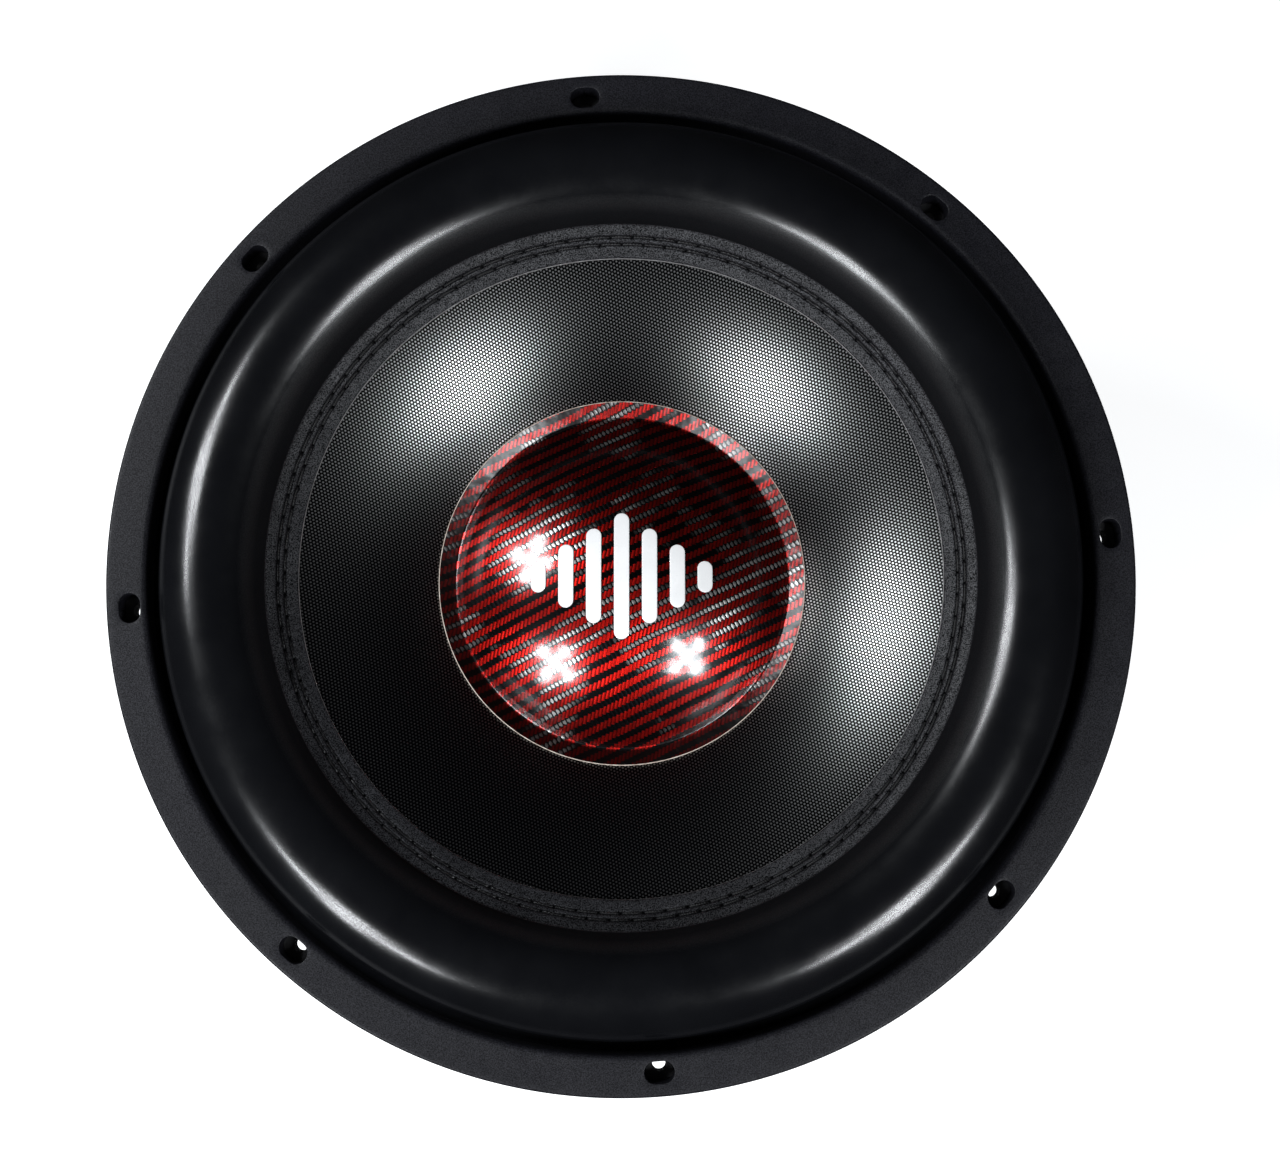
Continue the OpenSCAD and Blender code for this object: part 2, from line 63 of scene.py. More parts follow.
# Sizes that several pieces share, read from the frame where a node shows them
gasket_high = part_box("mounting_gasket")[1]
GASKET_R = gasket_high.x
GASKET_TOP = gasket_high.z
GASKET_INNER_R = 182 * MM
FLANGE_TOP = 8 * MM
LAND_R = 184 * MM
LAND_LOW = 6 * MM
OVAL_CIRCLE_R = 189 * MM
BOLT_COUNT = 8
BOLT_START = math.radians(4.4)
OVAL_LENGTH = 11.4 * MM
OVAL_WIDTH = 8.1 * MM
ROLL_R = 157 * MM
ROLL_RADIUS = 20 * MM
ROLL_WALL = 2.6 * MM
LIP_R = 125.3 * MM
LIP_OUTER_R = ROLL_R - ROLL_RADIUS
LIP_WALL = 1.6 * MM
LIP_TOP = 10.4 * MM
STITCH_ROWS = (5 * MM, 7.5 * MM)
STITCH_COUNT = 96
CONE_RISE = math.tan(math.radians(30.2))
CONE_WALL = 1.6 * MM
FORMER_R = 38.7 * MM
CAP_RIM_R = 74.2 * MM
CAP_CREASE_R = 67.5 * MM
DOME_RADIUS = 100 * MM
CAP_WALL = 0.9 * MM
CAP_EDGE = 0.35 * MM


def cone_z(r):
    """Front face of the cone's wall at a radius."""
    return LIP_TOP - LIP_WALL + (r - LIP_R) * CONE_RISE


DOME_RISE = DOME_RADIUS - math.sqrt(DOME_RADIUS**2 - CAP_CREASE_R**2)
DOME_CENTRE_Z = cone_z(CAP_CREASE_R) + CAP_WALL + DOME_RISE - DOME_RADIUS


# ---- Mesh helpers ----

def arc(centre_r, centre_z, radius, start, end, steps):
    """Points of an arc in the (radius, height) plane, angles in degrees."""
    turns = np.radians(np.linspace(start, end, steps + 1))
    return [(centre_r + radius * math.cos(a), centre_z + radius * math.sin(a)) for a in turns]


def mesh_object(name, points, faces, materials, face_slots=None):
    """A smooth-shaded object with its points merged where they meet."""
    mesh = bpy.data.meshes.new(name)
    mesh.from_pydata([tuple(p) for p in points], [], faces)
    for material in materials:
        mesh.materials.append(material)
    if face_slots is not None:
        mesh.polygons.foreach_set("material_index", face_slots)
    work = bmesh.new()
    work.from_mesh(mesh)
    bmesh.ops.remove_doubles(work, verts=work.verts, dist=2e-7)
    bmesh.ops.recalc_face_normals(work, faces=work.faces)
    work.to_mesh(mesh)
    work.free()
    mesh.polygons.foreach_set("use_smooth", [True] * len(mesh.polygons))
    mesh.update()
    piece = bpy.data.objects.new(name, mesh)
    bpy.context.scene.collection.objects.link(piece)
    return piece


def revolve(name, outline, materials, segments=256, closed=True, shape=None, slots=None):
    """Turns an outline of (radius, height) points round the Z axis.

    shape(turn, r, z) returns the moved r and z of the points, and slots gives each outline step's material.
    """
    outline = np.array(outline, float)
    count = len(outline)
    turn = np.linspace(0, TAU, segments, endpoint=False)[:, None]
    r = np.broadcast_to(outline[None, :, 0], (segments, count))
    z = np.broadcast_to(outline[None, :, 1], (segments, count))
    if shape:
        r, z = shape(turn, r, z)
    points = np.stack([r * np.cos(turn), r * np.sin(turn), z], axis=-1).reshape(-1, 3)
    steps = count if closed else count - 1
    faces = []
    for i in range(segments):
        here, there = i * count, (i + 1) % segments * count
        for j in range(steps):
            k = (j + 1) % count
            faces.append((here + j, there + j, there + k, here + k))
    face_slots = None
    if slots is not None:
        face_slots = list(slots) * segments
    return mesh_object(name, points, faces, materials, face_slots)


def tube(name, path, radius, materials, sides=10):
    """A round tube along a path of points, closed at both ends."""
    path = np.array(path, float)
    ahead = np.gradient(path, axis=0)
    ahead /= np.linalg.norm(ahead, axis=1)[:, None]
    side = np.cross(ahead, (0.0, 0.0, 1.0))
    side /= np.linalg.norm(side, axis=1)[:, None]
    up = np.cross(side, ahead)
    points = []
    for i in range(len(path)):
        for j in range(sides):
            a = TAU * j / sides
            points.append(path[i] + radius * (math.cos(a) * side[i] + math.sin(a) * up[i]))
    faces = []
    for i in range(len(path) - 1):
        for j in range(sides):
            k = (j + 1) % sides
            faces.append((i * sides + j, i * sides + k, (i + 1) * sides + k, (i + 1) * sides + j))
    last = (len(path) - 1) * sides
    faces.append(tuple(range(sides)))
    faces.append(tuple(last + j for j in reversed(range(sides))))
    return mesh_object(name, points, faces, materials)


def softened(node, material, width, angle=35):
    """A copy of a hard CAD node with its sharp edges rounded, which stands for the node."""
    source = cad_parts[node]
    mesh = source.data.copy()
    mesh.materials.clear()
    mesh.materials.append(material)
    piece = bpy.data.objects.new(node + "_finished", mesh)
    bpy.context.scene.collection.objects.link(piece)
    work = bmesh.new()
    work.from_mesh(mesh)
    bmesh.ops.remove_doubles(work, verts=work.verts, dist=2e-6)
    bmesh.ops.dissolve_limit(work, angle_limit=math.radians(0.5), verts=work.verts, edges=work.edges)
    work.to_mesh(mesh)
    work.free()
    mesh.polygons.foreach_set("use_smooth", [True] * len(mesh.polygons))
    mesh.set_sharp_from_angle(angle=math.radians(angle))
    bevel = piece.modifiers.new("round", "BEVEL")
    bevel.width = width
    bevel.segments = 2
    bevel.limit_method = "ANGLE"
    bevel.angle_limit = math.radians(angle)
    bevel.miter_outer = "MITER_ARC"
    bevel.harden_normals = True
    evaluated = piece.evaluated_get(bpy.context.evaluated_depsgraph_get())
    rounded = bpy.data.meshes.new_from_object(evaluated)
    piece.modifiers.clear()
    piece.data = rounded
    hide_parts(node)
    return piece


# ---- Material helpers ----

class Look:
    """A material with its node tree, made step by step."""

    def __init__(self, name, **values):
        self.material = bpy.data.materials.new(name)
        self.material.use_nodes = True
        self.tree = self.material.node_tree
        self.shader = self.tree.nodes["Principled BSDF"]
        self.place = self.add("ShaderNodeTexCoord").outputs["Object"]
        for key, value in values.items():
            self.shader.inputs[key.replace("_", " ")].default_value = value

    def add(self, kind, **settings):
        node = self.tree.nodes.new(kind)
        for key, value in settings.items():
            setattr(node, key, value)
        return node

    def feed(self, socket, value):
        if isinstance(value, bpy.types.NodeSocket):
            self.tree.links.new(value, socket)
        else:
            socket.default_value = value

    def math(self, operation, first, second=None, third=None):
        node = self.add("ShaderNodeMath", operation=operation)
        for socket, value in zip(node.inputs, (first, second, third)):
            if value is not None:
                self.feed(socket, value)
        return node.outputs[0]

    def vector(self, operation, first, second=None):
        node = self.add("ShaderNodeVectorMath", operation=operation)
        self.feed(node.inputs[0], first)
        if second is not None:
            self.feed(node.inputs[1], second)
        return node.outputs["Value" if operation in ("DOT_PRODUCT", "LENGTH") else "Vector"]

    def reach(self):
        """Distance from the driver's axis."""
        flat = self.vector("MULTIPLY", self.place, (1.0, 1.0, 0.0))
        return self.vector("LENGTH", flat)

    def noise(self, scale, detail=3.0, roughness=0.55, place=None):
        node = self.add("ShaderNodeTexNoise")
        self.feed(node.inputs["Vector"], place or self.place)
        node.inputs["Scale"].default_value = scale
        node.inputs["Detail"].default_value = detail
        node.inputs["Roughness"].default_value = roughness
        return node.outputs["Fac"]

    def drifted(self, scale, amount):
        """The place shifted by a slow noise, so that threads don't run dead straight."""
        drift = self.add("ShaderNodeTexNoise", noise_dimensions="3D")
        self.feed(drift.inputs["Vector"], self.place)
        drift.inputs["Scale"].default_value = scale
        shift = self.add("ShaderNodeVectorMath", operation="MULTIPLY_ADD")
        self.feed(shift.inputs[0], drift.outputs["Color"])
        shift.inputs[1].default_value = (amount, amount, amount)
        self.feed(shift.inputs[2], self.place)
        return shift.outputs[0]

    def span(self, value, low, high, to_low=0.0, to_high=1.0):
        """Maps a value's range on to another, held at both ends."""
        node = self.add("ShaderNodeMapRange")
        for socket, number in zip(node.inputs, (value, low, high, to_low, to_high)):
            self.feed(socket, number)
        return node.outputs[0]

    def mixed(self, kind, share, first, second):
        """Mixes two values of one kind: FLOAT, VECTOR or RGBA."""
        node = self.add("ShaderNodeMix", data_type=kind)
        self.feed(node.inputs["Factor"], share)
        self.feed(node.inputs["A"], first)
        self.feed(node.inputs["B"], second)
        return node.outputs["Result"]

    def colours(self, share, first, second):
        """Mixes two colours, each a tuple or the output of another node."""
        first, second = [(*c, 1) if isinstance(c, tuple) else c for c in (first, second)]
        return self.mixed("RGBA", share, first, second)

    def bump(self, height, distance, under=None):
        node = self.add("ShaderNodeBump")
        node.inputs["Distance"].default_value = distance
        self.feed(node.inputs["Height"], height)
        if under is not None:
            self.feed(node.inputs["Normal"], under)
        self.feed(self.shader.inputs["Normal"], node.outputs[0])
        return node.outputs[0]

    def set(self, **sockets):
        for key, value in sockets.items():
            self.feed(self.shader.inputs[key.replace("_", " ")], value)
        return self


def mottled(name, dark, light, rough, patch_scale, grain_scale, grain_height, edge=0.0, **values):
    """A plain finish with patches of tone, uneven polish and a fine grain.

    edge is the radius to which sharp edges are rounded in the shading.
    """
    look = Look(name, **values)
    patches = look.noise(patch_scale, 4)
    look.set(Base_Color=look.colours(look.span(patches, 0.3, 0.7), dark, light))
    look.set(Roughness=look.span(look.noise(patch_scale * 3, 3), 0.3, 0.7, rough[0], rough[1]))
    rounded = look.add("ShaderNodeBevel", samples=8)
    rounded.inputs["Radius"].default_value = edge
    look.bump(look.noise(grain_scale, 2), grain_height, under=rounded.outputs["Normal"] if edge else None)
    return look.material


# ---- Materials ----

def gasket_rubber():
    """Satin rubber with a fine speckled grain."""
    look = Look("gasket_rubber")
    grain = look.span(look.noise(2100, 1, 0.6), 0.34, 0.68)
    patch = look.span(look.noise(25, 3), 0.3, 0.7, 0.7, 1.0)
    look.set(Base_Color=look.colours(look.math("MULTIPLY", grain, patch), (0.0020, 0.0020, 0.0030),
                                     (0.0105, 0.0105, 0.0150)))
    look.set(Roughness=look.span(look.noise(120, 3), 0.3, 0.7, 0.46, 0.54))
    look.set(Specular_IOR_Level=look.span(grain, 0, 1, 0.18, 0.40))
    look.bump(grain, 0.02 * MM)
    return look.material


def roll_foam():
    """Satin foam skin, duller down its inner flank."""
    look = Look("roll_foam")
    look.set(Base_Color=look.colours(look.span(look.noise(30, 4), 0.3, 0.7), (0.0028, 0.0030, 0.0038),
                                     (0.0045, 0.0048, 0.0058)))
    flank = look.span(look.reach(), 139 * MM, 144.5 * MM)
    grain = look.span(look.noise(2100, 1, 0.6), 0.36, 0.66, 0.6, 1.0)
    polish = look.span(look.noise(90, 3), 0.3, 0.7, 0.19, 0.24)
    look.set(Roughness=look.span(flank, 0, 1, 0.75, polish))
    look.set(Specular_IOR_Level=look.math("MULTIPLY", look.span(flank, 0, 1, 0.12, 0.56), grain))
    look.bump(grain, 0.015 * MM)
    return look.material


def lip_leather():
    """Fine pebbled grain of the stitched lip, with painted shade darkening the two sewn grooves."""
    look = Look("lip_leather")
    grain = look.span(look.noise(2100, 1, 0.6), 0.36, 0.66)
    patch = look.span(look.noise(60, 4), 0.3, 0.7, 0.65, 1.0)
    tone = look.math("MULTIPLY", grain, patch)
    # Painted shade: the colour is darkened along both sewn grooves, where the pressed lip lies in shadow
    for offset in STITCH_ROWS:
        away = look.math("ABSOLUTE", look.math("SUBTRACT", look.reach(), LIP_R + offset))
        tone = look.math("MULTIPLY", tone, look.span(away, 0.25 * MM, 0.85 * MM, 0.08, 1.0))
    look.set(Base_Color=look.colours(tone, (0.0004, 0.0004, 0.0006), (0.0400, 0.0410, 0.0470)))
    look.set(Roughness=look.span(look.noise(300, 2), 0.3, 0.7, 0.5, 0.62))
    look.set(Specular_IOR_Level=look.span(tone, 0, 1, 0.04, 0.7))
    look.bump(grain, 0.03 * MM)
    return look.material


def cut_edge(name, dark, light):
    """Raw edge of a cut sheet."""
    return mottled(name, dark, light, (0.5, 0.7), 400, 3000, 0.1 * MM)


def thread():
    look = Look("thread", Roughness=0.45)
    strands = look.math("SINE", look.vector("DOT_PRODUCT", look.place, (5200.0, 5200.0, 3000.0)))
    look.set(Base_Color=look.colours(look.span(strands, -1, 1), (0.0015, 0.0015, 0.0020),
                                     (0.0090, 0.0090, 0.0100)))
    look.bump(strands, 0.06 * MM)
    return look.material


WEAVE_PITCH = 1.162 * MM
WEAVE_TURNS = (9.4, 69.4, 129.4)
BELLY_R = 103 * MM
BELLY_CURVE = 3.4


def cone_weave():
    """Glossy woven cloth whose crossings stand up as dots on a six-sided lattice."""
    look = Look("cone_weave", IOR=2.5)
    place = look.drifted(20, 0.6 * MM)
    waves = []
    for turn in WEAVE_TURNS:
        a = math.radians(turn)
        along = (TAU / WEAVE_PITCH * math.cos(a), TAU / WEAVE_PITCH * math.sin(a), 0.0)
        waves.append(look.math("COSINE", look.vector("DOT_PRODUCT", place, along)))
    dots = look.math("ADD", look.math("ADD", waves[0], waves[1]), waves[2])
    raised = look.span(dots, -0.3, 2.6)
    # The dots' relief is the weave's own; their lighter colour is a painted highlight on the raised
    # crossings, with painted shade in the valleys
    look.set(Base_Color=look.colours(raised, (0.0002, 0.0002, 0.0004), (0.0055, 0.0057, 0.0070)))
    look.set(Roughness=look.span(look.noise(18, 3), 0.35, 0.65, 0.279, 0.289))
    look.set(Specular_IOR_Level=look.span(raised, 0, 1, 0.01, 1.0))
    dot_bump = look.bump(raised, 0.008 * MM)
    away = look.math("SUBTRACT", look.reach(), BELLY_R)
    belly = look.math("MULTIPLY", look.math("MULTIPLY", away, away), -BELLY_CURVE)
    look.bump(belly, 1.0, under=dot_bump)
    return look.material


TWILL_TURN = 25.9
TWILL_BAND = 4.96 * MM
TWILL_STRAND = 1.77 * MM
RED_STRAND_TURN = 78.0
DARK_STRAND_TURN = -60.0


def strands(look, along, across, turn):
    """Place across each strand of one direction, from 0 to 1, and the strand's number."""
    slant = 1 / math.tan(math.radians(turn - TWILL_TURN))
    count = look.math("DIVIDE", look.math("SUBTRACT", along, look.math("MULTIPLY", across, slant)),
                      TWILL_STRAND)
    return look.math("FRACT", count), look.math("FLOOR", count)


def crown(look, place):
    """Rounded height of a strand: 0 at its edges and 1 along its middle."""
    return look.math("SINE", look.math("MULTIPLY", place, math.pi))


def strand_side(look, turn):
    """Direction across a strand in the dome's own surface."""
    a = math.radians(turn)
    normal = look.add("ShaderNodeNewGeometry").outputs["Normal"]
    return look.vector("NORMALIZE", look.vector("CROSS_PRODUCT", normal, (math.cos(a), math.sin(a), 0.0)))


def cap_twill():
    """Red and black twill under a clear coat: bands of red strands between bands of dark strands."""
    look = Look("cap_twill", Metallic=1.0, Anisotropic=0.5, Coat_IOR=1.6)
    place = look.drifted(28, 2.4 * MM)
    a = math.radians(TWILL_TURN)
    along = look.vector("DOT_PRODUCT", place, (math.cos(a), math.sin(a), 0.0))
    across = look.vector("DOT_PRODUCT", place, (-math.sin(a), math.cos(a), 0.0))
    rows = look.math("DIVIDE", across, TWILL_BAND)
    red_place, red_number = strands(look, along, across, RED_STRAND_TURN)
    dark_place = strands(look, along, across, DARK_STRAND_TURN)[0]
    red_crown, dark_crown = crown(look, red_place), crown(look, dark_place)

    # Which band a point is in: the red bands' edges are notched by their strands
    stagger = look.math("MULTIPLY", look.math("SUBTRACT", red_place, 0.5), 0.13)
    band = look.math("FRACT", look.math("ADD", rows, stagger))
    is_red = look.math("LESS_THAN", band, 0.5)

    # Red strands, each a little lighter or darker than the next
    number = look.math("ADD", red_number, look.math("MULTIPLY", look.math("FLOOR", rows), 7.31))
    vary = look.add("ShaderNodeTexWhiteNoise", noise_dimensions="1D")
    look.feed(vary.inputs["W"], number)
    red = look.colours(look.math("MULTIPLY", red_crown, look.span(vary.outputs["Value"], 0, 1, 0.6, 1.0)),
                       (0.07, 0.0010, 0.0010), (0.56, 0.010, 0.006))

    # Dark strands, with silver ovals in random noise patches: a painted sheen where the strands would catch
    # the light
    band_crown = crown(look, look.math("MULTIPLY", look.math("SUBTRACT", band, 0.5), 2.0))
    oval = look.span(look.math("MULTIPLY", dark_crown, band_crown), 0.32, 0.62)
    # Painted sheen: noise patches where the dark strands' ovals are coloured silver
    painted_sheen_patches = look.span(look.noise(30, 2), 0.47, 0.60)
    dark = look.colours(look.math("MULTIPLY", oval, painted_sheen_patches), (0.004, 0.004, 0.0045), (0.50, 0.49, 0.48))

    on_rim = look.span(look.reach(), 66 * MM, 68.5 * MM)
    cloth = look.colours(is_red, dark, red)
    look.set(Base_Color=look.colours(look.math("MULTIPLY", on_rim, 0.45), cloth, (0.004, 0.002, 0.002)))
    look.set(Roughness=look.span(look.noise(900, 2), 0.3, 0.7, 0.35, 0.43))
    look.set(Tangent=look.mixed("VECTOR", is_red, strand_side(look, DARK_STRAND_TURN),
                                strand_side(look, RED_STRAND_TURN)))
    look.bump(look.mixed("FLOAT", is_red, dark_crown, red_crown), 0.10 * MM)

    # Clear coat, rippled and thinner on the rim
    ripple = look.add("ShaderNodeBump")
    look.feed(ripple.inputs["Height"], look.noise(110, 2))
    look.feed(ripple.inputs["Strength"], look.span(on_rim, 0, 1, 0.12, 0.7))
    ripple.inputs["Distance"].default_value = 0.9 * MM
    look.set(Coat_Normal=ripple.outputs[0], Coat_Roughness=look.span(on_rim, 0, 1, 0.15, 0.3))
    look.set(Coat_Weight=look.span(on_rim, 0, 1, 1.0, 0.55))
    return look.material


def mark_white():
    return mottled("mark_white", (0.82, 0.82, 0.82), (0.9, 0.9, 0.9), (0.25, 0.35), 80, 2500, 0.01 * MM,
                   Coat_Weight=0.4)


def powder_coat():
    return mottled("powder_coat", (0.024, 0.024, 0.026), (0.036, 0.036, 0.039), (0.42, 0.55), 40, 1100,
                   0.12 * MM, edge=1.0 * MM)


def moulded(name, dark, light, rough=(0.4, 0.5)):
    return mottled(name, dark, light, rough, 60, 1800, 0.03 * MM)


def turned_metal(name, dark, light, rough=(0.28, 0.4)):
    """Metal with the fine rings that a lathe leaves."""
    look = Look(name, Metallic=0.9)
    height = look.vector("DOT_PRODUCT", look.place, (0.0, 0.0, 1.0))
    rings = look.math("SINE", look.math("MULTIPLY", look.math("ADD", look.reach(), height), 14000.0))
    look.set(Base_Color=look.colours(look.span(look.noise(35, 4), 0.3, 0.7), dark, light))
    look.set(Roughness=look.span(look.math("ADD", rings, look.noise(120, 3)), -0.7, 1.7, rough[0], rough[1]))
    look.bump(rings, 0.012 * MM)
    return look.material


def ferrite():
    return mottled("ferrite", (0.02, 0.02, 0.022), (0.04, 0.04, 0.043), (0.45, 0.65), 70, 900, 0.1 * MM)


def winding_wire():
    """Enamelled copper wire wound in level turns."""
    look = Look("winding_wire", Metallic=0.95)
    height = look.vector("DOT_PRODUCT", look.place, (0.0, 0.0, TAU / (0.9 * MM)))
    turns = look.math("SINE", height)
    look.set(Base_Color=look.colours(look.span(turns, -1, 1), (0.18, 0.05, 0.015), (0.75, 0.30, 0.11)))
    look.set(Roughness=look.span(look.noise(200, 3), 0.3, 0.7, 0.22, 0.36))
    look.bump(turns, 0.18 * MM)
    return look.material


def spider_cloth():
    """Resin-dipped cotton in a square weave."""
    look = Look("spider_cloth")
    threads = []
    for along in ((TAU / (0.8 * MM), 0.0, 0.0), (0.0, TAU / (0.8 * MM), 0.0)):
        threads.append(look.math("SINE", look.vector("DOT_PRODUCT", look.place, along)))
    weave = look.math("MULTIPLY", threads[0], threads[1])
    tone = look.math("ADD", look.span(weave, -1, 1, 0.0, 0.6), look.noise(50, 4))
    look.set(Base_Color=look.colours(look.span(tone, 0.4, 1.2), (0.16, 0.085, 0.022), (0.42, 0.26, 0.085)))
    look.set(Roughness=look.span(look.noise(150, 3), 0.3, 0.7, 0.55, 0.7))
    look.bump(weave, 0.15 * MM)
    return look.material


def braid():
    """Tinsel braid: two sets of fine wires that cross."""
    look = Look("braid", Metallic=0.85)
    waves = []
    for along in ((2600.0, 3400.0, 3400.0), (2600.0, -3400.0, -3400.0)):
        waves.append(look.math("SINE", look.vector("DOT_PRODUCT", look.place, along)))
    cross = look.math("MULTIPLY", waves[0], waves[1])
    look.set(Base_Color=look.colours(look.span(cross, -1, 1), (0.22, 0.18, 0.13), (0.75, 0.70, 0.60)))
    look.set(Roughness=look.span(look.noise(500, 2), 0.3, 0.7, 0.3, 0.45))
    look.bump(cross, 0.12 * MM)
    return look.material


LOOKS = {
    "gasket": gasket_rubber(),
    "roll": roll_foam(),
    "lip": lip_leather(),
    "lip_edge": cut_edge("lip_edge", (0.26, 0.26, 0.26), (0.62, 0.62, 0.62)),
    "thread": thread(),
    "cone": cone_weave(),
    "cap": cap_twill(),
    "cap_edge": cut_edge("cap_edge", (0.30, 0.22, 0.18), (0.62, 0.55, 0.48)),
    "mark": mark_white(),
    "powder": powder_coat(),
    "moulded_black": moulded("moulded_black", (0.020, 0.020, 0.022), (0.034, 0.034, 0.037)),
    "button_red": moulded("button_red", (0.42, 0.012, 0.010), (0.55, 0.02, 0.015), (0.22, 0.3)),
    "button_black": moulded("button_black", (0.012, 0.012, 0.013), (0.022, 0.022, 0.024), (0.22, 0.3)),
    "boot": moulded("boot_rubber", (0.019, 0.019, 0.021), (0.030, 0.030, 0.032), (0.45, 0.58)),
    "seal": mottled("seal_foam", (0.012, 0.012, 0.012), (0.03, 0.03, 0.03), (0.8, 0.9), 200, 1500, 0.3 * MM),
    "plate": turned_metal("plate_steel", (0.03, 0.03, 0.032), (0.06, 0.06, 0.064)),
    "aluminium": turned_metal("aluminium", (0.62, 0.63, 0.65), (0.8, 0.81, 0.83)),
    "bolt": turned_metal("bolt_steel", (0.03, 0.03, 0.031), (0.07, 0.07, 0.073)),
    "steel": turned_metal("bright_steel", (0.45, 0.46, 0.48), (0.66, 0.67, 0.7)),
    "screen": turned_metal("screen_steel", (0.10, 0.10, 0.105), (0.2, 0.2, 0.21)),
    "brass": turned_metal("contact_brass", (0.6, 0.4, 0.13), (0.83, 0.62, 0.25), (0.2, 0.3)),
    "ferrite": ferrite(),
    "copper": winding_wire(),
    "spider": spider_cloth(),
    "braid": braid(),
}


def dress(piece, body, slot, *nodes):
    """Puts a finished piece on its body in the place of CAD nodes; slot, the record's name for its finish,
    is not used.
    """
    if body:
        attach(piece, body)
    if nodes:
        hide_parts(*nodes)
    return piece


def keep_node(node, material):
    """Gives a CAD node that stays in the picture its finish."""
    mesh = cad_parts[node].data
    mesh.materials.clear()
    mesh.materials.append(material)


def bend_radially(piece):
    """Bakes the round piece's placement into its mesh."""
    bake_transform(piece)


# ---- Trim gasket ----

GASKET_STEPS = 1024
HOLE_HALF_STEPS = 8
HOLE_SIDE_STEPS = 8
HOLE_RIM = 0.35 * MM
GASKET_LOW = 2 * MM
GASKET_SKIRT_R = 196.3 * MM
GASKET_BEVEL = 1.2 * MM
GASKET_EDGE_R = 2.5 * MM


def oval_reach(across, grow):
    """Distance from an oval hole's centre to its wall, in a direction measured from the hole's length."""
    half_width = OVAL_WIDTH / 2 + grow
    straight = (OVAL_LENGTH - OVAL_WIDTH) / 2
    c, s = abs(math.cos(across)), abs(math.sin(across))
    if s * straight >= half_width * c:
        return half_width / s
    return straight * c + math.sqrt(half_width**2 - (straight * s) ** 2)


def gasket_face(points, faces, z, inner, outer, grow, rim):
    """One flat side of the gasket with its oval holes.

    rim lists the steps of each hole's wall, as (growth, height).
    """
    step = TAU / GASKET_STEPS
    per_hole = GASKET_STEPS // BOLT_COUNT
    radii = np.linspace(inner, outer, HOLE_SIDE_STEPS + 1)

    def quad(*corners):
        faces.append(tuple(range(len(points), len(points) + 4)))
        points.extend(corners)

    def polar(r, turn, height=z):
        return (r * math.cos(turn), r * math.sin(turn), height)

    for hole in range(BOLT_COUNT):
        middle = BOLT_START + hole * per_hole * step
        for i in range(HOLE_HALF_STEPS, per_hole - HOLE_HALF_STEPS):
            here, there = middle + i * step, middle + (i + 1) * step
            for low, high in zip(radii[:-1], radii[1:]):
                quad(polar(low, here), polar(high, here), polar(high, there), polar(low, there))
        frame_line = [(inner, i) for i in range(-HOLE_HALF_STEPS, HOLE_HALF_STEPS)]
        frame_line += [(r, HOLE_HALF_STEPS) for r in radii[:-1]]
        frame_line += [(outer, i) for i in range(HOLE_HALF_STEPS, -HOLE_HALF_STEPS, -1)]
        frame_line += [(r, -HOLE_HALF_STEPS) for r in radii[:0:-1]]
        rings = []
        for r, i in frame_line:
            along, out = i * step * OVAL_CIRCLE_R, r - OVAL_CIRCLE_R
            across = math.atan2(out, along)
            reach = math.hypot(along, out)
            line = [polar(r, middle + i * step)]
            edge = oval_reach(across, grow)
            for share in (0.5, 1.0):
                far = reach + (edge - reach) * share
                line.append(polar(OVAL_CIRCLE_R + far * math.sin(across),
                                  middle + far * math.cos(across) / OVAL_CIRCLE_R))
            for extra, height in rim:
                far = oval_reach(across, extra)
                line.append(polar(OVAL_CIRCLE_R + far * math.sin(across),
                                  middle + far * math.cos(across) / OVAL_CIRCLE_R, height))
            rings.append(line)
        for a, b in zip(rings, rings[1:] + rings[:1]):
            for j in range(len(a) - 1):
                quad(a[j], b[j], b[j + 1], a[j + 1])


def build_gasket():
    points, faces = [], []
    rim = [(HOLE_RIM * (1 - math.sin(a)), GASKET_TOP - HOLE_RIM * (1 - math.cos(a)))
           for a in np.radians((30, 60, 90))]
    rim.append((0, FLANGE_TOP))
    top_inner, top_outer = GASKET_INNER_R + GASKET_EDGE_R, GASKET_R - GASKET_BEVEL
    gasket_face(points, faces, GASKET_TOP, top_inner, top_outer, HOLE_RIM, rim)
    gasket_face(points, faces, FLANGE_TOP, GASKET_INNER_R, GASKET_SKIRT_R, 0, [])
    side = arc(top_inner, GASKET_TOP - GASKET_EDGE_R, GASKET_EDGE_R, 90, 180, 10)
    side.append((GASKET_INNER_R, FLANGE_TOP))
    skirt = [(GASKET_SKIRT_R, FLANGE_TOP), (GASKET_SKIRT_R, GASKET_LOW), (GASKET_R - 0.4 * MM, GASKET_LOW)]
    skirt += arc(GASKET_R - 0.4 * MM, GASKET_LOW + 0.4 * MM, 0.4 * MM, -90, 0, 4)
    skirt += arc(GASKET_R - GASKET_BEVEL, GASKET_TOP - GASKET_BEVEL, GASKET_BEVEL, 0, 90, 8)
    for line in (side, skirt):
        for i in range(GASKET_STEPS):
            here = BOLT_START + i * TAU / GASKET_STEPS
            there = BOLT_START + (i + 1) * TAU / GASKET_STEPS
            for (r0, z0), (r1, z1) in zip(line[:-1], line[1:]):
                faces.append(tuple(range(len(points), len(points) + 4)))
                points.extend([(r0 * math.cos(here), r0 * math.sin(here), z0),
                               (r0 * math.cos(there), r0 * math.sin(there), z0),
                               (r1 * math.cos(there), r1 * math.sin(there), z1),
                               (r1 * math.cos(here), r1 * math.sin(here), z1)])
    piece = mesh_object("trim_gasket", points, faces, [LOOKS["gasket"]])
    piece.data.set_sharp_from_angle(angle=math.radians(40))
    dress(piece, "frame", "gasket_rubber", "mounting_gasket")


# ---- Surround and its stitches ----

